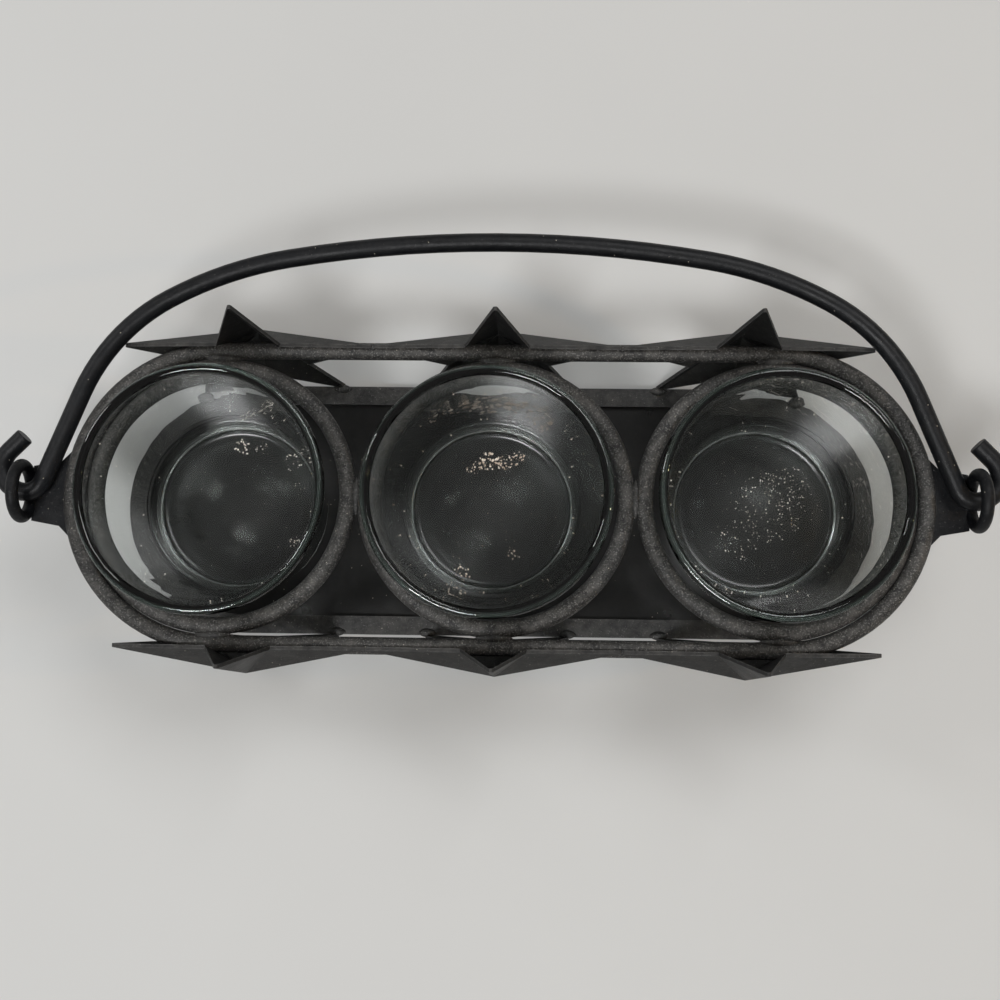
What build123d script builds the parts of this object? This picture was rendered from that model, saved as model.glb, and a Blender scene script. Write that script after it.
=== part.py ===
from build123d import *

import os
from math import asin, atan2, cos, degrees, hypot, radians, sin, sqrt, tan

# Votive candle holder: a welded iron rack with a swinging rod handle and three loose glass cups.
# Millimetres. +X runs along the rack, +Y to its far side, +Z up. The origin is on the table, under
# the middle of the rack. At rest the handle is folded back on the arm tips of the far stars.

# Glass cups
cup_rim_radius = 39.5
cup_base_radius = 30.4
cup_height = 67.8
cup_wall = 3.3
cup_floor_thickness = 5.5
cup_floor_round = 3.0
cup_heel_round = 3.0
cup_recess_radius = 24.0
cup_recess_depth = 0.8
cup_shifts = {"left": -1.3, "centre": -2.3, "right": -0.6}  # where each cup stands in its ring

# Rods, rings and rail
rod_diameter = 5.6
ring_play = 3.0  # between a cup and its ring, all round
weld_gap = 0.1  # between rods that lie side by side

# Tray
tray_floor_thickness = 1.2
tray_floor_inset = 0.5  # from the band's outer edge
band_thickness = 2.0
band_width = 6.5
band_inset = 6.3  # from the rail's outer edge

# Stars folded from sheet
star_radius = 44.0
star_inner_radius = 17.8
star_sheet = 1.2
star_tip_round = 0.7
star_tip_gap = 0.2  # between the arm tips of neighbours
star_foot_height = 0.6  # of the sharp leg tips, before rounding
star_foot_offset = 0.9  # of the legs' outer face from the band's edge
star_arm_above_rail = 3.8
star_arm_bite = 1.3  # how far inside the rail's outer edge the arms' outer face lies
star_top_lean = 5.8
star_peak_rise = 8.1
tip_steps = 4

# Lugs and eyes at the two ends
lug_thickness = 3.0
lug_top_above_rail = 0.5
lug_neck_reach = 1.2
lug_neck_half_width = 10.6
lug_end_half_width = 9.0
lug_root_depth = 3.8
eye_reach = 11.3
eye_hole_radius = 6.3
eye_wire = 4.0
eye_step = 0.2  # from the lug's top to the lowest point of the eye's hole

# Handle
handle_rod = 6.0
handle_eye_play = 0.3
handle_stop_gap = 0.2
foot_bend_radius = 6.0
leg_lean = 67.5
leg_length = 31.0
shoulder_radius = 63.0
shoulder_turn = 39.0
haunch_radius = 124.0
haunch_turn = 19.0
hook_play = 2.8
hook_turn = 135.0
hook_tail = 6.8
hook_end_round = 0.5

# Weld beads
ring_weld_radius = 1.7
ring_weld_length = 13.0
ring_weld_rise = 0.9  # of the bead's axis above the rods' middle
ring_weld_root = 1.1  # above the rods' middle, where the groove is too narrow for the bead
arm_weld_radius = 1.3
arm_weld_rise = 2.2
foot_weld_radius = 1.6
foot_weld_length = 7.0
foot_weld_inset = 0.9
foot_weld_drop = 0.3  # of the bead's axis below the band's top

# Heights
tray_top = tray_floor_thickness
band_top = tray_top + band_thickness
star_height = star_foot_height + star_radius * cos(radians(36))
star_arm_height = star_height + star_radius * sin(radians(18))
rail_height = star_arm_height - star_arm_above_rail
lug_top = rail_height + lug_top_above_rail
eye_height = lug_top + eye_step + eye_hole_radius
pivot_height = eye_height - eye_hole_radius + handle_eye_play + handle_rod / 2

# Plan sizes
cup_flare = (cup_rim_radius - cup_base_radius) / cup_height
cup_radius_at_ring = cup_base_radius + cup_flare * (rail_height - tray_top)
ring_radius = cup_radius_at_ring + ring_play + rod_diameter / 2
ring_outer_radius = ring_radius + rod_diameter / 2
cup_pitch = 2 * ring_outer_radius + weld_gap
rail_half_width = ring_outer_radius + weld_gap + rod_diameter / 2
rail_outer = rail_half_width + rod_diameter / 2
band_outer = rail_outer - band_inset
tray_floor_outer = band_outer - tray_floor_inset
end_reach = cup_pitch + rail_outer
eye_reach_x = end_reach + eye_reach
cup_places = {"left": -cup_pitch, "centre": 0.0, "right": cup_pitch}

# Star sizes: the arms' and legs' outer faces, and the reach of the rounded tips
arm_face = rail_outer - star_arm_bite
foot_face = band_outer + star_foot_offset
notch_across = star_inner_radius * sin(radians(36))
notch_below_tip = star_radius - star_inner_radius * cos(radians(36))
tip_centre_setback = star_tip_round / sin(atan2(notch_across, notch_below_tip))
arm_reach = (star_radius - tip_centre_setback) * cos(radians(18)) + star_tip_round
leg_reach = (star_radius - tip_centre_setback) * sin(radians(36))
star_pitch = 2 * arm_reach + star_tip_gap
star_places = {"left": -star_pitch, "centre": 0.0, "right": star_pitch}

# Handle sizes: the crown's radius closes the arch, and the rod rests above the far arm tips
crown_turn = leg_lean - shoulder_turn - haunch_turn
haunch_lean = crown_turn + haunch_turn
hook_radius = handle_rod / 2 + eye_wire / 2 + hook_play
leg_top_x = eye_reach_x - foot_bend_radius * sin(radians(leg_lean)) - leg_length * cos(radians(leg_lean))
leg_top_y = foot_bend_radius * (1 - cos(radians(leg_lean))) + leg_length * sin(radians(leg_lean))
shoulder_centre_x = leg_top_x - shoulder_radius * sin(radians(leg_lean))
shoulder_centre_y = leg_top_y - shoulder_radius * cos(radians(leg_lean))
haunch_start_x = shoulder_centre_x + shoulder_radius * sin(radians(haunch_lean))
crown_start_x = haunch_start_x - haunch_radius * (sin(radians(haunch_lean)) - sin(radians(crown_turn)))
crown_radius = crown_start_x / sin(radians(crown_turn))
tip_distance = hypot(star_pitch + arm_reach - shoulder_centre_x, arm_face - shoulder_centre_y)
tip_miss = abs(shoulder_radius - tip_distance)
stop_reach = handle_rod / 2 + handle_stop_gap
stop_lift = sqrt(max(stop_reach**2 - tip_miss**2, 0.0))
rest_angle = degrees(asin((star_arm_height + stop_lift - pivot_height) / arm_face))


def save(piece, name):
    piece.part.label = name
    export_step(piece.part, f"parts/{name}.step")


def star_corner(step):
    """One of the star's ten corners in its own plane, every 36 degrees clockwise from the top tip."""
    radius = star_radius if step % 2 == 0 else star_inner_radius
    angle = radians(90 - 36 * step)
    return Vector(radius * cos(angle), star_height + radius * sin(angle))


def rounded_tip(step):
    """Points of the small arc that rounds one tip, in clockwise order."""
    tip = star_corner(step)
    along = (star_corner(step - 1) - tip).normalized()
    inward = (Vector(0, star_height) - tip).normalized()
    half_angle = radians(along.get_angle(inward))
    centre = tip + inward * (star_tip_round / sin(half_angle))
    first = tip + along * (star_tip_round / tan(half_angle)) - centre
    turn = 180 - 2 * degrees(half_angle)
    turns = [-turn * count / tip_steps for count in range(tip_steps + 1)]
    return [centre + first.rotate(Axis.Z, angle) for angle in turns]


def star_face_at(height):
    """How far out the star's edge lies: up the straight face to the arms, then out to the top tip."""
    foot = star_height - star_radius * cos(radians(36))
    if height <= star_arm_height:
        return foot_face + (arm_face - foot_face) * (height - foot) / (star_arm_height - foot)
    top = star_height + star_radius
    return arm_face + star_top_lean * (height - star_arm_height) / (top - star_arm_height)


def folded_star():
    """A hollow star: facets from the middle peak to the edge, the same facets one sheet further in."""
    outline = []
    for step in range(0, 10, 2):
        outline += rounded_tip(step) + [star_corner(step + 1)]
    outer = [Vector(point.X, star_face_at(point.Y), point.Y) for point in outline]
    inward = Vector(0, -star_sheet, 0)
    peak = Vector(0, arm_face + star_peak_rise, star_height)
    faces = []
    for start, end in zip(outer, outer[1:] + outer[:1]):
        corners = [
            [peak, start, end],
            [peak + inward, start + inward, end + inward],
            [start, end, end + inward, start + inward],
        ]
        faces += [Face(Wire.make_polygon(loop, close=True)) for loop in corners]
    return Solid(Shell(faces))


def band_edge_at(along):
    """How far out the band's edge lies at this distance along the rack."""
    past_straight = max(abs(along) - cup_pitch, 0.0)
    return sqrt(max(band_outer**2 - past_straight**2, 0.0))


def weld_bead(length, radius, heading):
    """A spindle-shaped bead about the origin, which runs along the heading."""
    with BuildPart() as bead:
        with BuildSketch(Plane.XY):
            with BuildLine():
                ThreePointArc((-length / 2, 0), (0, radius), (length / 2, 0))
                Line((-length / 2, 0), (length / 2, 0))
            make_face()
        revolve(axis=Axis.X)
    return bead.part.rotate(Axis.Z, heading)


os.makedirs("parts", exist_ok=True)

# Rail: one rod bent to a racetrack
with BuildPart() as upper_rail:
    with BuildLine(Plane.XY.offset(rail_height)) as rail_path:
        far_side = Line((-cup_pitch, rail_half_width), (cup_pitch, rail_half_width))
        right_end = CenterArc((cup_pitch, 0), rail_half_width, 90, -180)
        near_side = Line((cup_pitch, -rail_half_width), (-cup_pitch, -rail_half_width))
        left_end = CenterArc((-cup_pitch, 0), rail_half_width, -90, -180)
    with BuildSketch(Plane(origin=far_side @ 0, z_dir=far_side % 0)):
        Circle(rod_diameter / 2)
    sweep(path=rail_path.wire())
save(upper_rail, "upper_rail")

# Rings that hold the cups
cup_rings = []
for place, ring_x in cup_places.items():
    with BuildPart() as cup_ring:
        with Locations((ring_x, 0, rail_height)):
            Torus(ring_radius, rod_diameter / 2)
    save(cup_ring, f"cup_ring_{place}")
    cup_rings.append(cup_ring)

# Floor sheet and the flat band on its edge
with BuildPart() as tray_floor:
    with BuildSketch():
        SlotCenterToCenter(2 * cup_pitch, 2 * tray_floor_outer)
    extrude(amount=tray_floor_thickness)
save(tray_floor, "tray_floor")

with BuildPart() as lower_band:
    with BuildSketch(Plane.XY.offset(tray_top)):
        SlotCenterToCenter(2 * cup_pitch, 2 * band_outer)
        SlotCenterToCenter(2 * cup_pitch, 2 * (band_outer - band_width), mode=Mode.SUBTRACT)
    extrude(amount=band_thickness)
save(lower_band, "lower_band")

# Six stars, which carry the rail on the band
far_star = folded_star()
stars = []
for side, star_shell in {"back": far_star, "front": far_star.mirror(Plane.XZ)}.items():
    for place, star_x in star_places.items():
        with BuildPart() as star:
            add(star_shell.moved(Location((star_x, 0, 0))))
            add(upper_rail.part, mode=Mode.SUBTRACT)
            add(lower_band.part, mode=Mode.SUBTRACT)
        save(star, f"star_{side}_{place}")
        stars.append(star)

# Eyes that the handle hangs in, and the lugs that carry them
for place, outward in {"left": -1, "right": 1}.items():
    with BuildPart() as eye:
        with Locations((outward * eye_reach_x, 0, eye_height)):
            Torus(eye_hole_radius + eye_wire / 2, eye_wire / 2, rotation=(0, 90, 0))
    save(eye, f"eye_{place}")

    root_x = end_reach - lug_root_depth
    neck_x = end_reach + lug_neck_reach
    end_x = eye_reach_x - eye_wire / 4
    root_half_width = lug_neck_half_width + neck_x - root_x
    with BuildPart() as lug:
        with BuildSketch(Plane.XY.offset(lug_top - lug_thickness)):
            with BuildLine():
                far_edge = Polyline(
                    (outward * root_x, root_half_width),
                    (outward * neck_x, lug_neck_half_width),
                    (outward * end_x, lug_end_half_width),
                )
                near_edge = Polyline(
                    (outward * root_x, -root_half_width),
                    (outward * neck_x, -lug_neck_half_width),
                    (outward * end_x, -lug_end_half_width),
                )
                Line(far_edge @ 0, near_edge @ 0)
                Line(far_edge @ 1, near_edge @ 1)
            make_face()
            with Locations((outward * cup_pitch, 0)):
                Circle(rail_half_width, mode=Mode.SUBTRACT)
        extrude(amount=lug_thickness)
        add(upper_rail.part, mode=Mode.SUBTRACT)
        add(eye.part, mode=Mode.SUBTRACT)
    save(lug, f"lug_{place}")

# Handle: one rod, arched between the eyes and hooked through them
handle_plane = Plane(
    origin=(0, 0, pivot_height),
    x_dir=(1, 0, 0),
    z_dir=(0, -sin(radians(rest_angle)), cos(radians(rest_angle))),
)
with BuildPart() as handle:
    with BuildLine(handle_plane) as handle_path:
        hook = JernArc((eye_reach_x, 0), (1, 0), hook_radius, hook_turn)
        PolarLine(hook @ 1, hook_tail, direction=hook % 1)
        foot = JernArc((eye_reach_x, 0), (-1, 0), foot_bend_radius, -leg_lean)
        leg = PolarLine(foot @ 1, leg_length, direction=foot % 1)
        shoulder = JernArc(leg @ 1, leg % 1, shoulder_radius, shoulder_turn)
        haunch = JernArc(shoulder @ 1, shoulder % 1, haunch_radius, haunch_turn)
        JernArc(haunch @ 1, haunch % 1, crown_radius, crown_turn)
        mirror(about=Plane.YZ)
    handle_wire = handle_path.wire()
    with BuildSketch(Plane(origin=handle_wire @ 0, z_dir=handle_wire % 0)):
        Circle(handle_rod / 2)
    sweep(path=handle_wire)
    fillet(handle.faces().filter_by(GeomType.PLANE).edges(), hook_end_round)
save(handle, "handle")

# Glass cups, loose in the rings
rim_half = cup_wall / 2
inner_base_radius = cup_base_radius - cup_wall + cup_flare * cup_floor_thickness
with BuildPart() as cup:
    with BuildSketch(Plane.XZ):
        with BuildLine():
            Polyline(
                (0, cup_recess_depth),
                (cup_recess_radius, cup_recess_depth),
                (cup_recess_radius, 0),
                (cup_base_radius, 0),
                (cup_rim_radius, cup_height),
                (cup_rim_radius - cup_wall, cup_height),
                (inner_base_radius, cup_floor_thickness),
                (0, cup_floor_thickness),
                close=True,
            )
        make_face()
    revolve(axis=Axis.Z)
    circles = cup.edges().filter_by(GeomType.CIRCLE)
    floor_edges = circles.filter_by_position(Axis.Z, cup_floor_thickness - 0.01, cup_floor_thickness + 0.01)
    fillet(floor_edges, cup_floor_round)
    heel = cup.edges().filter_by(GeomType.CIRCLE).group_by(Axis.Z)[0].sort_by(SortBy.RADIUS)[-1]
    fillet(heel, cup_heel_round)
    fillet(cup.edges().filter_by(GeomType.CIRCLE).group_by(Axis.Z)[-1], rim_half * 0.97)

for place, cup_x in cup_places.items():
    with BuildPart() as glass_cup:
        add(cup.part.moved(Location((cup_x + cup_shifts[place], 0, tray_top))))
    save(glass_cup, f"glass_cup_{place}")

# Weld beads in the grooves between the rings and the rail
ring_contact = ring_outer_radius + weld_gap / 2
bead_height = rail_height + ring_weld_rise
between_rings = weld_bead(ring_weld_length, ring_weld_radius, 90)
beside_rail = weld_bead(ring_weld_length, ring_weld_radius, 0)
with BuildPart() as ring_welds:
    for outward in (-1, 1):
        add(between_rings.moved(Location((outward * cup_pitch / 2, 0, bead_height))))
    for ring_x in cup_places.values():
        for side in (-1, 1):
            add(beside_rail.moved(Location((ring_x, side * ring_contact, bead_height))))
    split(bisect_by=Plane.XY.offset(rail_height + ring_weld_root), keep=Keep.TOP)
    add(upper_rail.part, mode=Mode.SUBTRACT)
    for cup_ring in cup_rings:
        add(cup_ring.part, mode=Mode.SUBTRACT)
save(ring_welds, "ring_welds")

# Weld beads between the arm tips on the rail, and at the stars' feet on the band. A foot that stands
# off the band's rounded end gets a bead that is wider by half the distance.
with BuildPart() as star_welds:
    for side in (-1, 1):
        for star_x in star_places.values():
            for outward in (-1, 1):
                foot_x = star_x + outward * leg_reach
                stand_off = band_outer - band_edge_at(foot_x)
                foot_y = band_outer - foot_weld_inset - stand_off / 2
                bead = weld_bead(foot_weld_length, foot_weld_radius + stand_off / 4, 0)
                add(bead.moved(Location((foot_x, side * foot_y, band_top - foot_weld_drop))))
    split(bisect_by=Plane.XY.offset(band_top), keep=Keep.TOP)
    for side in (-1, 1):
        for outward in (-1, 1):
            spot = (outward * star_pitch / 2, side * (arm_face - star_sheet / 2), rail_height + arm_weld_rise)
            with Locations(spot):
                Sphere(arm_weld_radius)
    add(upper_rail.part, mode=Mode.SUBTRACT)
    for star in stars:
        add(star.part, mode=Mode.SUBTRACT)
save(star_welds, "star_welds")

print(f"rail height {rail_height:.2f}, cup pitch {cup_pitch:.2f}, star pitch {star_pitch:.2f}")
print(f"pivot at x {eye_reach_x:.3f}, z {pivot_height:.3f}, rest angle {rest_angle:.3f}")
print(f"crown radius {crown_radius:.1f}, tip miss {tip_miss:.2f}")
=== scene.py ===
import math
import random

import bmesh
import bpy
from bpy.props import FloatProperty, FloatVectorProperty, IntProperty, PointerProperty
from mathutils import Matrix, Vector


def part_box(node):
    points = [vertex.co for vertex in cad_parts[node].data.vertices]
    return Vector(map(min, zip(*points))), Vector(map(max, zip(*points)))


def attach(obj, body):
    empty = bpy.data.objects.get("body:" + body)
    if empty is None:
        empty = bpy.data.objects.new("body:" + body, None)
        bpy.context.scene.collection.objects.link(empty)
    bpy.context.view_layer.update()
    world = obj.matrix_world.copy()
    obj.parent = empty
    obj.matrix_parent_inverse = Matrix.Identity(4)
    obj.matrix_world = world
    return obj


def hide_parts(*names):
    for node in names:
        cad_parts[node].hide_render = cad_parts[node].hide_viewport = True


bl_info = {
    "name": "Votive candle holder",
    "version": (1, 0, 0),
    "blender": (4, 5, 0),
    "location": "3D View > Sidebar > Votive",
    "description": "Finishes a black iron votive candle holder with three loose glass cups",
    "category": "Object",
}

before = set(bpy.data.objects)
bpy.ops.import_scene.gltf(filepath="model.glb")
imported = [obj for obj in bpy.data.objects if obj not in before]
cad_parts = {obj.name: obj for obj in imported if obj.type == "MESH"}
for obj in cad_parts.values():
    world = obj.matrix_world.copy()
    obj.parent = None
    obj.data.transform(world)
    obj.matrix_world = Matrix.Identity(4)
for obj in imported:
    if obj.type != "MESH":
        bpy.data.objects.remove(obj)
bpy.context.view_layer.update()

# Each cup's place and body, and the nodes that share a finish
CUPS = {"left": "cup_left", "centre": "cup_centre", "right": "cup_right"}
RODS = ["upper_rail", "cup_ring_left", "cup_ring_centre", "cup_ring_right"]
END_FITTINGS = ["lug_left", "lug_right", "eye_left", "eye_right"]
WELDS = ["ring_welds", "star_welds"]
STARS = [f"star_{side}_{place}" for side in ("back", "front") for place in CUPS]

# Section of a cup, in metres. Its rim and its height come from the frame.
FOOT_SHARE = 0.7742
WALL = 0.0033
WALL_LEAN_PAST_RIM = 0.00023
FLOOR_THICKNESS = 0.0055
HEEL_RADIUS = 0.0030
HEEL_SWEEP = 82
HEEL_SHIFT = 0.00018
RIM_START = -7
RIM_SWEEP = 187
FILLET_RADIUS = 0.0030
FILLET_SHIFT = 0.0003
HOLLOW_DEPTH = 0.0008
HOLLOW_RADIUS = 0.0232
HOLLOW_EDGE_RADIUS = 0.0240
HOLLOW_EDGE_RISE = 0.0001
OUTER_WALL_STEPS = 96
INNER_WALL_STEPS = 12

# Pressing marks round the lower outside of a cup
RIPPLE_DEPTH = 0.00015
RIPPLE_PITCH = 0.0031
RIPPLE_TOP = 0.026

# Heights where a mask of the glass is empty and where it is full
WAXY_BELOW = (0.0085, 0.0072)
UNDERSIDE_BELOW = (0.0030, 0.0024)
FLOOR_ABOVE = (0.0058, 0.0063)
WAVY_ABOVE = (0.008, 0.016)
WAXY_ROUGHNESS = 0.20

# Crumbs on a cup's floor, in heaps: x, y, reach, count and share of the full crumb size
CRUMB_HEAPS = {
    "left": [
        (-0.0915, 0.0215, 0.0030, 26, 0.5),
        (-0.0850, 0.0215, 0.0025, 16, 0.4),
        (-0.0735, 0.0165, 0.0035, 30, 0.4),
        (-0.0705, 0.0080, 0.0020, 8, 0.35),
        (-0.0722, -0.0125, 0.0022, 22, 0.45),
        (-0.0915, 0.0, 0.0235, 40, 0.22),
    ],
    "centre": [
        (-0.0090, 0.0150, 0.0030, 24, 0.55),
        (-0.0040, 0.0172, 0.0034, 46, 0.7),
        (0.0020, 0.0170, 0.0030, 34, 0.65),
        (0.0066, 0.0185, 0.0026, 26, 0.6),
        (0.0058, -0.0155, 0.0022, 16, 0.5),
        (-0.0125, -0.0225, 0.0032, 26, 0.5),
        (-0.0020, 0.0, 0.0235, 60, 0.25),
    ],
    "right": [
        (0.0955, 0.0020, 0.0125, 210, 0.34),
        (0.1020, 0.0085, 0.0080, 90, 0.34),
        (0.0850, -0.0095, 0.0070, 50, 0.42),
        (0.0900, 0.0, 0.0235, 110, 0.24),
    ],
}
CRUMB_SEAT = 0.25
WALL_SPECKS = 46
WALL_SPECK_SEED = 10
WALL_SPECK_WIDTH = (0.00015, 0.00055)
WALL_SPECK_RISE = (0.14, 0.96)
WALL_SPECK_GAP = 0.0001

# Depth of the relief, in metres, that the bumps of each kind of surface stand for
GRAIN_RELIEF = 0.0004
WAVE_RELIEF = 0.0012
PLAIN_RELIEF = 0.0005

# Each light's place, target, width and length, and colour. The stage's settings hold its power.
DAYLIGHT = (0.985, 0.99, 1.0)
WARM_LAMP = (1.0, 0.62, 0.25)
SKY_COLOUR = (1.0, 0.985, 0.96, 1.0)
LIGHTS = {
    "key": ((-0.45, -0.80, 1.60), (0.0, 0.0, 0.0), (0.6, 0.4), DAYLIGHT),
    "window": ((-1.0, 0.50, 0.85), (0.0, 0.0, 0.0), (0.25, 0.4), DAYLIGHT),
    "fill": ((0.60, 0.85, 1.55), (0.0, 0.0, 0.0), (1.0, 0.7), DAYLIGHT),
    "lamp": ((0.90, -0.02, 0.60), (0.0, 0.0, 0.05), (0.05, 0.03), WARM_LAMP),
    "ceiling": ((0.0, 0.10, 1.70), (0.0, 0.0, 0.0), (0.5, 0.4), DAYLIGHT),
}
TABLE_REACH = 3.0
TABLE_DROP = 0.0003

# Camera: almost straight down on the holder, a little from its near side
CAMERA_PLACE = (0.0110, -0.0437, 0.4630)
CAMERA_FORWARD = (-0.0304, 0.1126, -0.9932)
CAMERA_RIGHT = (0.9995, 0.0137, -0.0290)
SENSOR_WIDTH = 36.0
LENS_SHIFT = (0.0097, -0.0129)


# Settings

class IronFinish(bpy.types.PropertyGroup):
    """Colours and grain of the black iron"""

    rod_colour: FloatVectorProperty(
        name="Rod colour", description="Black finish of the rail, the rings and the weld beads",
        subtype="COLOR", size=3, min=0, max=1, default=(0.0155, 0.0155, 0.0155))
    sheet_colour: FloatVectorProperty(
        name="Sheet colour", description="Black finish of the stars and the band",
        subtype="COLOR", size=3, min=0, max=1, default=(0.014, 0.014, 0.0135))
    handle_colour: FloatVectorProperty(
        name="Handle colour", description="Faintly blue black of the handle, the lugs and the eyes",
        subtype="COLOR", size=3, min=0, max=1, default=(0.0065, 0.0072, 0.0090))
    tray_colour: FloatVectorProperty(
        name="Tray colour", description="Darker finish of the floor under the cups",
        subtype="COLOR", size=3, min=0, max=1, default=(0.0060, 0.0058, 0.0052))
    speck_colour: FloatVectorProperty(
        name="Speck colour", description="Fine grey grains in the black finish",
        subtype="COLOR", size=3, min=0, max=1, default=(0.20, 0.195, 0.185))
    dust_colour: FloatVectorProperty(
        name="Dust colour", description="Dust that has settled on upward faces",
        subtype="COLOR", size=3, min=0, max=1, default=(0.19, 0.18, 0.165))
    fleck_colour: FloatVectorProperty(
        name="Fleck colour", description="Stray flecks of wax and dust on the iron",
        subtype="COLOR", size=3, min=0, max=1, default=(0.50, 0.46, 0.38))
    # Lighter colour along edges and folds, a painted edge highlight that is partly wear
    edge_highlight_and_wear_colour: FloatVectorProperty(
        name="Edge highlight and wear colour", description="Lighter metal along worn edges",
        subtype="COLOR", size=3, min=0, max=1, default=(0.13, 0.13, 0.13))
    grain_size: FloatProperty(
        name="Grain size", description="Width of the grains in the finish",
        unit="LENGTH", min=0.0001, max=0.01, precision=5, default=0.0006)
    # Width of the painted edge highlight and wear along edges
    edge_width: FloatProperty(
        name="Edge width", description="How far wear reaches from an edge",
        unit="LENGTH", min=0.0001, max=0.01, precision=5, default=0.0004)


class CupFinish(bpy.types.PropertyGroup):
    """Tint and smoothness of the glass cups, and the size of the crumbs in them"""

    tint: FloatVectorProperty(
        name="Glass tint", description="Colour that light takes on in thick glass",
        subtype="COLOR", size=3, min=0, max=1, default=(0.70, 0.90, 0.82))
    density: FloatProperty(
        name="Tint density", description="Strength of the tint, for each metre of glass",
        min=0, max=200, default=13.0)
    segments: IntProperty(
        name="Segments", description="Steps round each cup", min=32, max=512, default=160)
    crumb_size: FloatProperty(
        name="Crumb size", description="Width of the largest crumbs on the cups' floors",
        unit="LENGTH", min=0.0001, max=0.01, precision=5, default=0.0017)


class StageLook(bpy.types.PropertyGroup):
    """Table, lights and camera"""

    table_colour: FloatVectorProperty(
        name="Table colour", description="Pale plain table top",
        subtype="COLOR", size=3, min=0, max=1, default=(0.66, 0.66, 0.645))
    sky_strength: FloatProperty(
        name="Sky strength", description="Even light from all round", min=0, max=10, default=0.22)
    key_power: FloatProperty(
        name="Key power", description="Power of the soft light on the near side",
        unit="POWER", min=0, max=1000, default=15.5)
    window_power: FloatProperty(
        name="Window power", description="Power of the window-like light on the left",
        unit="POWER", min=0, max=1000, default=2.6)
    fill_power: FloatProperty(
        name="Fill power", description="Power of the wide light on the far side",
        unit="POWER", min=0, max=1000, default=10.0)
    lamp_power: FloatProperty(
        name="Lamp power", description="Power of the small warm lamp on the right",
        unit="POWER", min=0, max=1000, default=0.7)
    ceiling_power: FloatProperty(
        name="Ceiling power", description="Power of the weak light overhead",
        unit="POWER", min=0, max=1000, default=0.07)
    focal_length: FloatProperty(
        name="Focal length", description="Lens of the camera, in millimetres on a 36 mm sensor",
        min=1, max=500, default=46.72)


# Shader building

def add_node(tree, kind, inputs=None, **settings):
    """A shader node with some of its settings and input values."""
    made = tree.nodes.new(kind)
    for name, value in settings.items():
        setattr(made, name, value)
    for name, value in (inputs or {}).items():
        made.inputs[name].default_value = value
    return made


def is_output(value):
    """Whether a value is a node's output, and not a number or a colour."""
    return isinstance(value, bpy.types.NodeSocket)


def feed(tree, value, socket):
    """Links an output to a socket, or sets the socket to a plain value."""
    if is_output(value):
        tree.links.new(value, socket)
    else:
        socket.default_value = value


def arithmetic(tree, operation, first, second):
    """One step of arithmetic on two outputs or numbers."""
    made = add_node(tree, "ShaderNodeMath", operation=operation)
    feed(tree, first, made.inputs[0])
    feed(tree, second, made.inputs[1])
    return made.outputs[0]


def times(tree, first, second):
    """Product of two outputs or numbers."""
    return arithmetic(tree, "MULTIPLY", first, second)


def spread(tree, value, from_low, from_high, to_low=0.0, to_high=1.0):
    """Maps a value from one range to another, clamped."""
    ends = {"From Min": from_low, "From Max": from_high, "To Min": to_low, "To Max": to_high}
    made = add_node(tree, "ShaderNodeMapRange", ends)
    tree.links.new(value, made.inputs["Value"])
    return made.outputs["Result"]


def mix_colour(tree, share, low, high):
    """Mixes two colours by a mask. Each end is a colour or an output."""
    mix = add_node(tree, "ShaderNodeMix", data_type="RGBA")
    tree.links.new(share, mix.inputs["Factor"])
    first_colour, second_colour, mixed_colour = mix.inputs[6], mix.inputs[7], mix.outputs[2]
    for socket, end in ((first_colour, low), (second_colour, high)):
        feed(tree, end if is_output(end) else (*end, 1.0), socket)
    return mixed_colour


def noise(tree, place, scale, detail, rough):
    """Noise over the surface. Its scale is a number or an output."""
    made = add_node(tree, "ShaderNodeTexNoise", {"Detail": detail, "Roughness": rough})
    tree.links.new(place, made.inputs["Vector"])
    feed(tree, scale, made.inputs["Scale"])
    return made.outputs["Fac"]


def raise_relief(tree, shader, height, strength, depth):
    """Bumps a shader's normal by a height."""
    relief = add_node(tree, "ShaderNodeBump", {"Strength": strength, "Distance": depth})
    tree.links.new(height, relief.inputs["Height"])
    tree.links.new(relief.outputs["Normal"], shader.inputs["Normal"])


def new_material(name):
    """A material with its node tree and its shader."""
    material = bpy.data.materials.new(name)
    material.use_nodes = True
    return material, material.node_tree, material.node_tree.nodes["Principled BSDF"]


# Shared surface effects

def start_group(name, inputs, outputs):
    """An empty node group with float inputs, given with their defaults, and float outputs."""
    group = bpy.data.node_groups.new(name, "ShaderNodeTree")
    for label, default in inputs.items():
        socket = group.interface.new_socket(label, in_out="INPUT", socket_type="NodeSocketFloat")
        socket.default_value = default
    for label in outputs:
        group.interface.new_socket(label, in_out="OUTPUT", socket_type="NodeSocketFloat")
    return group, group.nodes.new("NodeGroupInput"), group.nodes.new("NodeGroupOutput")


def iron_grain_group():
    """Fine grains, broad mottling and a height for the textured black finish."""
    group, given, result = start_group(
        "Iron grain", {"Grain size": 0.0007, "Speck share": 0.3}, ["Specks", "Mottle", "Height"])
    place = add_node(group, "ShaderNodeTexCoord").outputs["Object"]
    grain_scale = arithmetic(group, "DIVIDE", 1.0, given.outputs["Grain size"])
    fine = noise(group, place, grain_scale, 3.0, 0.65)
    broad = noise(group, place, 70.0, 4.0, 0.6)
    pits = noise(group, place, 420.0, 2.0, 0.5)
    threshold = spread(group, given.outputs["Speck share"], 0.0, 1.0, 0.72, 0.42)
    above = arithmetic(group, "SUBTRACT", fine, threshold)
    group.links.new(spread(group, above, 0.0, 0.09), result.inputs["Specks"])
    group.links.new(spread(group, broad, 0.3, 0.7), result.inputs["Mottle"])
    height = arithmetic(group, "ADD", times(group, fine, 0.5), times(group, pits, 0.8))
    group.links.new(height, result.inputs["Height"])
    return group


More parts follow.
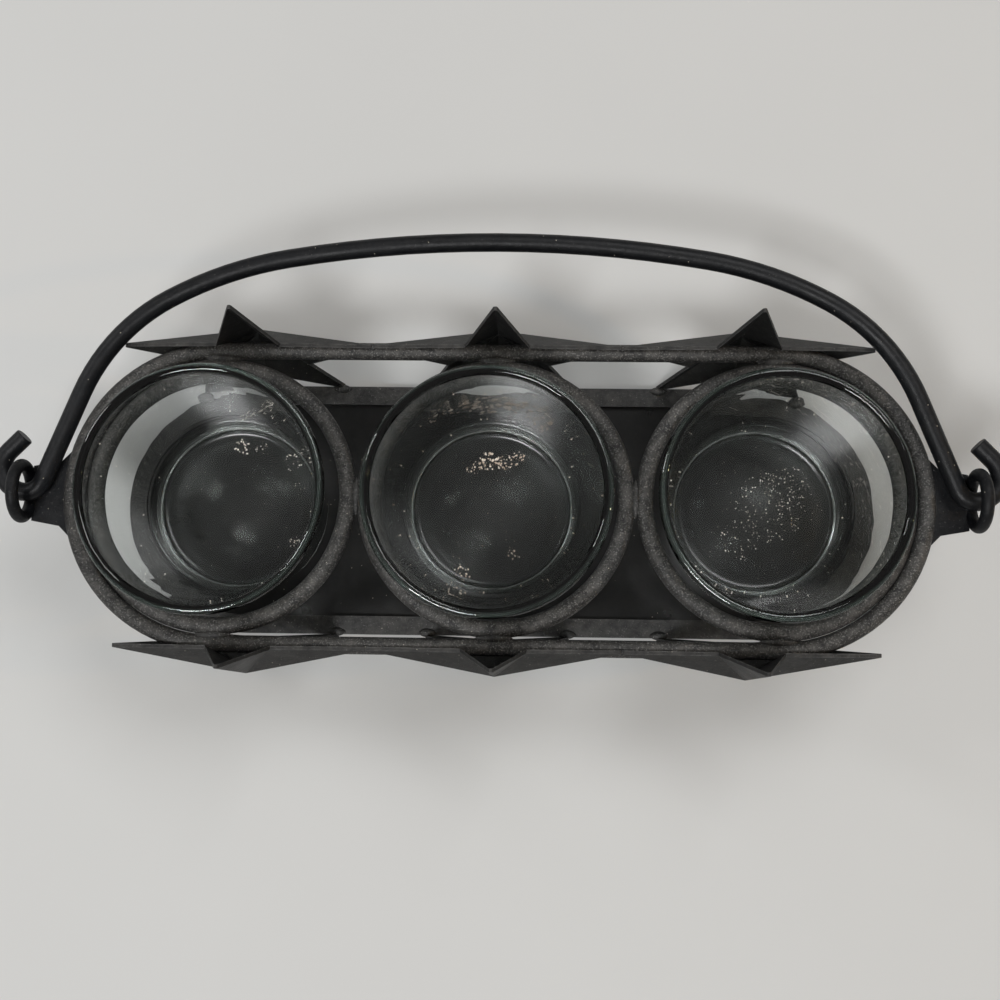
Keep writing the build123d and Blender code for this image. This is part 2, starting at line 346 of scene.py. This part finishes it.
def settled_dust_group():
    """Patchy dust on upward faces, and stray flecks all over."""
    group, given, result = start_group(
        "Settled dust", {"Amount": 0.5, "Fleck size": 0.05}, ["Dust", "Flecks"])
    coordinates = add_node(group, "ShaderNodeTexCoord")
    facing = add_node(group, "ShaderNodeSeparateXYZ")
    group.links.new(coordinates.outputs["Normal"], facing.inputs[0])
    upward = spread(group, facing.outputs["Z"], 0.15, 1.0)
    patchy = spread(group, noise(group, coordinates.outputs["Object"], 260.0, 6.0, 0.75), 0.36, 0.72)
    dust = times(group, times(group, upward, patchy), given.outputs["Amount"])
    group.links.new(dust, result.inputs["Dust"])
    stray = add_node(group, "ShaderNodeTexVoronoi", {"Scale": 300.0})
    group.links.new(coordinates.outputs["Object"], stray.inputs["Vector"])
    inside = arithmetic(group, "SUBTRACT", given.outputs["Fleck size"], stray.outputs["Distance"])
    group.links.new(spread(group, inside, 0.0, 0.012), result.inputs["Flecks"])
    return group


def edge_highlight_and_wear_group():
    """A mask along edges and folds, broken up by noise, for a painted edge highlight that is partly
    wear.
    """
    group, given, result = start_group("Edge wear", {"Width": 0.0004, "Amount": 0.5}, ["Wear"])
    rounded = add_node(group, "ShaderNodeBevel", samples=4)
    group.links.new(given.outputs["Width"], rounded.inputs["Radius"])
    true_normal = add_node(group, "ShaderNodeNewGeometry").outputs["Normal"]
    likeness = add_node(group, "ShaderNodeVectorMath", operation="DOT_PRODUCT")
    group.links.new(rounded.outputs["Normal"], likeness.inputs[0])
    group.links.new(true_normal, likeness.inputs[1])
    on_edge = spread(group, likeness.outputs["Value"], 0.995, 0.9)
    place = add_node(group, "ShaderNodeTexCoord").outputs["Object"]
    breaks = spread(group, noise(group, place, 330.0, 5.0, 0.7), 0.4, 0.65)
    edge_highlight_and_wear = times(group, times(group, on_edge, breaks), given.outputs["Amount"])
    group.links.new(edge_highlight_and_wear, result.inputs["Wear"])
    return group


GROUP_MAKERS = {
    "Iron grain": iron_grain_group,
    "Settled dust": settled_dust_group,
    "Edge wear": edge_highlight_and_wear_group,
}


def shared_effect(tree, name, values):
    """Places the shared node group of that name in a material. It is made on first use."""
    group = bpy.data.node_groups.get(name) or GROUP_MAKERS[name]()
    return add_node(tree, "ShaderNodeGroup", values, node_tree=group)


# Materials

def iron_material(name, colour, rough, bump, specks=0.3, dust=0.5, highlight_and_wear=0.5, shine=0.5):
    """Black iron: a dark coat with grey grains, dust on top and lighter edges, a painted edge highlight
    that is partly wear.
    """
    finish = bpy.context.scene.votive_iron
    material, tree, shader = new_material(name)
    grain = shared_effect(tree, "Iron grain", {"Grain size": finish.grain_size, "Speck share": specks})
    settled = shared_effect(tree, "Settled dust", {"Amount": dust})
    edge_highlight_and_wear = shared_effect(tree, "Edge wear", {"Width": finish.edge_width, "Amount": highlight_and_wear})
    darker = tuple(channel * 0.55 for channel in colour)
    faint_specks = times(tree, grain.outputs["Specks"], 0.75)
    base = mix_colour(tree, grain.outputs["Mottle"], darker, colour)
    base = mix_colour(tree, faint_specks, base, finish.speck_colour)
    # Painted highlight along edges and folds, partly wear
    base = mix_colour(tree, edge_highlight_and_wear.outputs["Wear"], base, finish.edge_highlight_and_wear_colour)
    base = mix_colour(tree, settled.outputs["Dust"], base, finish.dust_colour)
    base = mix_colour(tree, settled.outputs["Flecks"], base, finish.fleck_colour)
    tree.links.new(base, shader.inputs["Base Color"])
    roughness = spread(tree, grain.outputs["Mottle"], 0, 1, rough - 0.08, rough + 0.10)
    tree.links.new(roughness, shader.inputs["Roughness"])
    raise_relief(tree, shader, grain.outputs["Height"], bump, GRAIN_RELIEF)
    shader.inputs["Specular IOR Level"].default_value = shine
    return material


def glass_material():
    """Clear pressed glass, faintly green where it is thick. Its floor is dull with old wax, inside and
    underneath, and the heel between the two stays polished."""
    finish = bpy.context.scene.votive_cups
    material, tree, shader = new_material("Pressed glass")
    shader.inputs["Base Color"].default_value = (0.97, 0.99, 0.98, 1.0)
    shader.inputs["Transmission Weight"].default_value = 1.0
    shader.inputs["IOR"].default_value = 1.51
    place = add_node(tree, "ShaderNodeTexCoord").outputs["Object"]
    parts = add_node(tree, "ShaderNodeSeparateXYZ")
    tree.links.new(place, parts.inputs[0])
    height = parts.outputs["Z"]
    smears = spread(tree, noise(tree, place, 90.0, 5.0, 0.7), 0.45, 0.8, 0.0, 0.04)
    low_down = spread(tree, height, *WAXY_BELOW, 0.0, WAXY_ROUGHNESS)
    underside = spread(tree, height, *UNDERSIDE_BELOW)
    floor = spread(tree, height, *FLOOR_ABOVE)
    waxy = times(tree, low_down, arithmetic(tree, "ADD", underside, floor))
    tree.links.new(arithmetic(tree, "ADD", smears, waxy), shader.inputs["Roughness"])
    waves = times(tree, noise(tree, place, 38.0, 2.0, 0.5), spread(tree, height, *WAVY_ABOVE))
    raise_relief(tree, shader, waves, 0.16, WAVE_RELIEF)
    tint = {"Color": (*finish.tint, 1.0), "Density": finish.density}
    inside = add_node(tree, "ShaderNodeVolumeAbsorption", tint)
    tree.links.new(inside.outputs["Volume"], tree.nodes["Material Output"].inputs["Volume"])
    return material


def plain_material(name, low, high, scale, rough, bump, painted_glow=0.0):
    """A matt material whose colour wanders between two tones. It can also glow in that colour, as
    painted light.
    """
    material, tree, shader = new_material(name)
    place = add_node(tree, "ShaderNodeTexCoord").outputs["Object"]
    cloud = noise(tree, place, scale, 5.0, 0.6)
    tone = mix_colour(tree, spread(tree, cloud, 0.3, 0.7), low, high)
    tree.links.new(tone, shader.inputs["Base Color"])
    # Painted light: the tone also glows as emission, so the surface shines without a lamp
    tree.links.new(tone, shader.inputs["Emission Color"])
    shader.inputs["Emission Strength"].default_value = painted_glow
    shader.inputs["Roughness"].default_value = rough
    raise_relief(tree, shader, cloud, bump, PLAIN_RELIEF)
    return material


def dress(names, material):
    """Gives each CAD node of those names the material, in all its slots."""
    for name in names:
        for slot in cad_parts[name].material_slots:
            slot.material = material


# Meshes

def mesh_object(name, builder, material):
    """An object in the scene from a finished bmesh."""
    mesh = bpy.data.meshes.new(name)
    builder.to_mesh(mesh)
    builder.free()
    mesh.materials.append(material)
    made = bpy.data.objects.new(name, mesh)
    bpy.context.scene.collection.objects.link(made)
    return made


def new_piece(name, builder, material, body):
    """A mesh object that rides on a body."""
    piece = mesh_object(name, builder, material)
    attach(piece, body)
    return piece


def cup_box(place):
    """Lowest and highest corners of a cup."""
    return (Vector(corner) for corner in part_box(f"glass_cup_{place}"))


def arc(centre, radius, start, sweep, steps):
    """Points along an arc without its two ends, as (radius, height). Angles are in degrees."""
    turns = [math.radians(start + sweep * step / steps) for step in range(1, steps)]
    return [(centre[0] + radius * math.cos(turn), centre[1] + radius * math.sin(turn)) for turn in turns]


def pressing_mark(rise):
    """How far the outer wall steps in at a height above the foot."""
    fade = max(0.0, 1.0 - rise / RIPPLE_TOP)
    wave = 0.5 - 0.5 * math.cos(2 * math.pi * (rise - HEEL_RADIUS) / RIPPLE_PITCH)
    return RIPPLE_DEPTH * fade * wave


def cup_profile(low, high):
    """Half section of a cup as (radius, height) in metres, from the underside's middle round the rim to
    the inner floor's middle. The outer sizes come from the node's box."""
    rim = (high.x - low.x) / 2
    foot_z, top_z = low.z, high.z
    height = top_z - foot_z
    foot = rim * FOOT_SHARE
    flare = (rim + WALL_LEAN_PAST_RIM - foot) / height
    half = WALL / 2
    floor_z = foot_z + FLOOR_THICKNESS
    floor_r = foot - WALL + flare * FLOOR_THICKNESS

    points = [
        (0.0, foot_z + HOLLOW_DEPTH),
        (HOLLOW_RADIUS, foot_z + HOLLOW_DEPTH),
        (HOLLOW_EDGE_RADIUS, foot_z + HOLLOW_EDGE_RISE),
        (foot - HEEL_RADIUS, foot_z),
    ]
    heel_centre = (foot - HEEL_RADIUS + HEEL_SHIFT, foot_z + HEEL_RADIUS)
    points += arc(heel_centre, HEEL_RADIUS, -90, HEEL_SWEEP, 8)
    for step in range(1, OUTER_WALL_STEPS + 1):
        rise = HEEL_RADIUS + (height - HEEL_RADIUS - half) * step / OUTER_WALL_STEPS
        points.append((foot + flare * rise - pressing_mark(rise), foot_z + rise))
    points += arc((rim - half, top_z - half), half, RIM_START, RIM_SWEEP, 12)

    inner_top, inner_foot = height - half, FLOOR_THICKNESS + FILLET_RADIUS
    for step in range(INNER_WALL_STEPS + 1):
        rise = inner_top + (inner_foot - inner_top) * step / INNER_WALL_STEPS
        points.append((foot - WALL + flare * rise, foot_z + rise))
    fillet_centre = (floor_r - FILLET_RADIUS + FILLET_SHIFT, floor_z + FILLET_RADIUS)
    points += arc(fillet_centre, FILLET_RADIUS, 0, -90, 8)
    points += [(floor_r - FILLET_RADIUS, floor_z), (floor_r / 2, floor_z), (0.0, floor_z)]
    return points


def spun_cup(place):
    """Bmesh of one cup, spun round its own axis."""
    low, high = cup_box(place)
    middle_x, middle_y = (low.x + high.x) / 2, (low.y + high.y) / 2
    segments = bpy.context.scene.votive_cups.segments
    cup = bmesh.new()
    rings = []
    for radius, height in cup_profile(low, high):
        if radius == 0.0:
            rings.append([cup.verts.new((middle_x, middle_y, height))])
            continue
        ring = []
        for step in range(segments):
            turn = 2 * math.pi * step / segments
            x, y = middle_x + radius * math.cos(turn), middle_y + radius * math.sin(turn)
            ring.append(cup.verts.new((x, y, height)))
        rings.append(ring)
    for lower, upper in zip(rings, rings[1:]):
        for step in range(segments):
            after = (step + 1) % segments
            corners = [
                lower[step % len(lower)],
                lower[after % len(lower)],
                upper[after % len(upper)],
                upper[step % len(upper)],
            ]
            # A ring of one point gives triangles, so repeated corners are dropped
            cup.faces.new(list(dict.fromkeys(corners)))
    bmesh.ops.recalc_face_normals(cup, faces=cup.faces)
    for face in cup.faces:
        face.smooth = True
    return cup


def crumbs(heaps, floor, seed):
    """Bmesh of small angular crumbs lying in heaps on a cup's floor, at that height."""
    dice = random.Random(seed)
    largest = bpy.context.scene.votive_cups.crumb_size
    litter = bmesh.new()
    for x, y, reach, count, share in heaps:
        for _ in range(count):
            width = largest * share * dice.uniform(0.25, 1.0) ** 1.5
            turn = dice.uniform(0, 2 * math.pi)
            away = reach * math.sqrt(dice.random())
            made = bmesh.ops.create_icosphere(litter, subdivisions=1, radius=width / 2)
            proportions = (dice.uniform(0.6, 1.3), dice.uniform(0.6, 1.0), dice.uniform(0.35, 0.7), 1.0)
            spot = (x + away * math.cos(turn), y + away * math.sin(turn), floor + width * CRUMB_SEAT)
            spin = Matrix.Rotation(turn * 3, 4, "Z")
            move = Matrix.Translation(spot) @ spin @ Matrix.Diagonal(proportions)
            bmesh.ops.transform(litter, verts=made["verts"], matrix=move)
    return litter


def specks_on_wall(litter, place, seed):
    """Adds tiny specks that stick to the inside of a cup's wall."""
    low, high = cup_box(place)
    middle = (low + high) / 2
    rim = (high.x - low.x) / 2
    dice = random.Random(seed)
    for _ in range(WALL_SPECKS):
        share = dice.uniform(*WALL_SPECK_RISE)
        wall = rim * (FOOT_SHARE + (1 - FOOT_SHARE) * share) - WALL - WALL_SPECK_GAP
        turn = dice.uniform(0, 2 * math.pi)
        width = dice.uniform(*WALL_SPECK_WIDTH)
        made = bmesh.ops.create_icosphere(litter, subdivisions=1, radius=width / 2)
        x, y = middle.x + wall * math.cos(turn), middle.y + wall * math.sin(turn)
        bmesh.ops.translate(litter, verts=made["verts"], vec=(x, y, low.z + share * (high.z - low.z)))


# Steps

class VOTIVE_OT_finish_rods(bpy.types.Operator):
    """Textured black on the rail, rings and welds, plainer black on the lugs and eyes"""

    bl_idname = "votive.finish_rods"
    bl_label = "Finish rods"

    def execute(self, context):
        finish = context.scene.votive_iron
        dress(RODS, iron_material(
            "Black iron rod", finish.rod_colour, rough=0.55, bump=0.55,
            specks=0.58, dust=0.5, highlight_and_wear=0.3, shine=0.4))
        dress(END_FITTINGS, iron_material(
            "Black end fittings", finish.handle_colour, rough=0.5, bump=0.6,
            specks=0.2, dust=0.05, highlight_and_wear=0.4, shine=0.2))
        dress(WELDS, iron_material(
            "Weld bead", finish.rod_colour, rough=0.48, bump=0.9,
            specks=0.45, dust=0.35, highlight_and_wear=0.0, shine=0.4))
        return {"FINISHED"}


class VOTIVE_OT_finish_stars(bpy.types.Operator):
    """Dull black finish on the six folded stars"""

    bl_idname = "votive.finish_stars"
    bl_label = "Finish stars"

    def execute(self, context):
        finish = context.scene.votive_iron
        dress(STARS, iron_material(
            "Black star sheet", finish.sheet_colour, rough=0.58, bump=0.45,
            specks=0.28, dust=0.28, highlight_and_wear=0.9, shine=0.35))
        return {"FINISHED"}


class VOTIVE_OT_finish_tray(bpy.types.Operator):
    """Dusty band and the darker, smoother floor inside it"""

    bl_idname = "votive.finish_tray"
    bl_label = "Finish tray"

    def execute(self, context):
        finish = context.scene.votive_iron
        dress(["lower_band"], iron_material(
            "Black band", finish.sheet_colour, rough=0.5, bump=0.4,
            specks=0.35, dust=0.3, highlight_and_wear=0.7))
        dress(["tray_floor"], iron_material(
            "Black tray floor", finish.tray_colour, rough=0.34, bump=0.12,
            specks=0.05, dust=0.03, highlight_and_wear=0.5, shine=0.35))
        return {"FINISHED"}


class VOTIVE_OT_finish_handle(bpy.types.Operator):
    """Smooth, faintly blue black on the bent handle"""

    bl_idname = "votive.finish_handle"
    bl_label = "Finish handle"

    def execute(self, context):
        finish = context.scene.votive_iron
        dress(["handle"], iron_material(
            "Black handle rod", finish.handle_colour, rough=0.42, bump=0.35,
            specks=0.14, dust=0.05, highlight_and_wear=0.6, shine=0.25))
        return {"FINISHED"}


class VOTIVE_OT_make_cups(bpy.types.Operator):
    """Spins the three glass cups from their section"""

    bl_idname = "votive.make_cups"
    bl_label = "Make glass cups"

    def execute(self, context):
        glass = glass_material()
        for place, body in CUPS.items():
            cup = new_piece(f"pressed_cup_{place}", spun_cup(place), glass, body)
            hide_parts(f"glass_cup_{place}")
        return {"FINISHED"}


class VOTIVE_OT_scatter_crumbs(bpy.types.Operator):
    """Crumbs of wax and dust on the floors of the cups, and specks on their walls, brightened by a
    painted glow
    """

    bl_idname = "votive.scatter_crumbs"
    bl_label = "Scatter crumbs"

    def execute(self, context):
        # Both crumb materials glow as painted light, standing in for the light that the glass cups keep
        # from them
        pale = plain_material(
            "Pale crumbs", (0.55, 0.50, 0.42), (0.95, 0.91, 0.84),
            scale=900.0, rough=0.7, bump=0.2, painted_glow=0.3)
        brown = plain_material(
            "Brown crumbs", (0.36, 0.26, 0.18), (0.88, 0.80, 0.70),
            scale=700.0, rough=0.75, bump=0.2, painted_glow=0.25)
        materials = {"left": pale, "centre": brown, "right": pale}
        for seed, (place, heaps) in enumerate(CRUMB_HEAPS.items()):
            low, _ = cup_box(place)
            litter = crumbs(heaps, low.z + FLOOR_THICKNESS, seed)
            specks_on_wall(litter, place, seed + WALL_SPECK_SEED)
            new_piece(f"crumbs_{place}", litter, materials[place], CUPS[place])
        return {"FINISHED"}


class VOTIVE_OT_set_stage(bpy.types.Operator):
    """Pale table, soft lights and a camera almost straight above"""

    bl_idname = "votive.set_stage"
    bl_label = "Set stage"

    def execute(self, context):
        look = context.scene.votive_stage
        self.lay_table(look.table_colour)
        for name, (place, target, size, colour) in LIGHTS.items():
            self.hang_light(name, place, target, size, colour, getattr(look, f"{name}_power"))
        self.light_room(context.scene, look.sky_strength)
        self.place_camera(context.scene, look.focal_length)
        context.scene.view_settings.view_transform = "Standard"
        return {"FINISHED"}

    def lay_table(self, colour):
        """A plain table top just under the tray."""
        darker = tuple(channel * 0.96 for channel in colour)
        surface = plain_material("Pale table", darker, colour, scale=3.0, rough=0.85, bump=0.0)
        top = bmesh.new()
        bmesh.ops.create_grid(top, x_segments=4, y_segments=4, size=TABLE_REACH)
        table = mesh_object("table_top", top, surface)
        table.location.z = -TABLE_DROP

    def hang_light(self, name, place, target, size, colour, power):
        """A rectangular area light that faces the target."""
        lamp = bpy.data.lights.new(name.capitalize(), "AREA")
        lamp.shape = "RECTANGLE"
        lamp.size, lamp.size_y = size
        lamp.energy = power
        lamp.color = colour
        light = bpy.data.objects.new(name.capitalize(), lamp)
        light.location = place
        light.rotation_euler = (Vector(target) - Vector(place)).to_track_quat("-Z", "Y").to_euler()
        bpy.context.scene.collection.objects.link(light)

    def light_room(self, scene, strength):
        """Even, faintly warm light from all round."""
        room = bpy.data.worlds.new("Soft room")
        room.use_nodes = True
        sky = room.node_tree.nodes["Background"]
        sky.inputs["Color"].default_value = SKY_COLOUR
        sky.inputs["Strength"].default_value = strength
        scene.world = room

    def place_camera(self, scene, focal_length):
        """The camera, turned by its forward and right directions."""
        lens = bpy.data.cameras.new("Camera")
        lens.lens = focal_length
        lens.sensor_width = SENSOR_WIDTH
        lens.shift_x, lens.shift_y = LENS_SHIFT
        lens.clip_start = 0.01
        camera = bpy.data.objects.new("Camera", lens)
        forward = Vector(CAMERA_FORWARD).normalized()
        right = Vector(CAMERA_RIGHT)
        right = (right - forward * right.dot(forward)).normalized()
        turn = Matrix((right, right.cross(forward), -forward)).transposed()
        camera.matrix_world = Matrix.Translation(CAMERA_PLACE) @ turn.to_4x4()
        scene.collection.objects.link(camera)
        scene.camera = camera


class VOTIVE_PT_panel(bpy.types.Panel):
    """Lists the steps that finish the candle holder, and their settings"""

    bl_idname = "VOTIVE_PT_panel"
    bl_label = "Votive candle holder"
    bl_space_type = "VIEW_3D"
    bl_region_type = "UI"
    bl_category = "Votive"

    def draw(self, context):
        for operator in OPERATORS:
            self.layout.operator(operator.bl_idname)
        for name in SETTINGS:
            settings = getattr(context.scene, name)
            box = self.layout.box()
            for label in settings.__annotations__:
                box.prop(settings, label)


SETTINGS = {"votive_iron": IronFinish, "votive_cups": CupFinish, "votive_stage": StageLook}
OPERATORS = [
    VOTIVE_OT_finish_rods,
    VOTIVE_OT_finish_stars,
    VOTIVE_OT_finish_tray,
    VOTIVE_OT_finish_handle,
    VOTIVE_OT_make_cups,
    VOTIVE_OT_scatter_crumbs,
    VOTIVE_OT_set_stage,
]


def register():
    for made in [*SETTINGS.values(), *OPERATORS, VOTIVE_PT_panel]:
        bpy.utils.register_class(made)
    for name, settings in SETTINGS.items():
        setattr(bpy.types.Scene, name, PointerProperty(type=settings))


def unregister():
    for name in SETTINGS:
        delattr(bpy.types.Scene, name)
    for made in [VOTIVE_PT_panel, *reversed(OPERATORS), *reversed(list(SETTINGS.values()))]:
        bpy.utils.unregister_class(made)


def main():
    register()
    for operator in OPERATORS:
        family, step = operator.bl_idname.split(".")
        getattr(getattr(bpy.ops, family), step)()


if __name__ == "__main__":
    main()
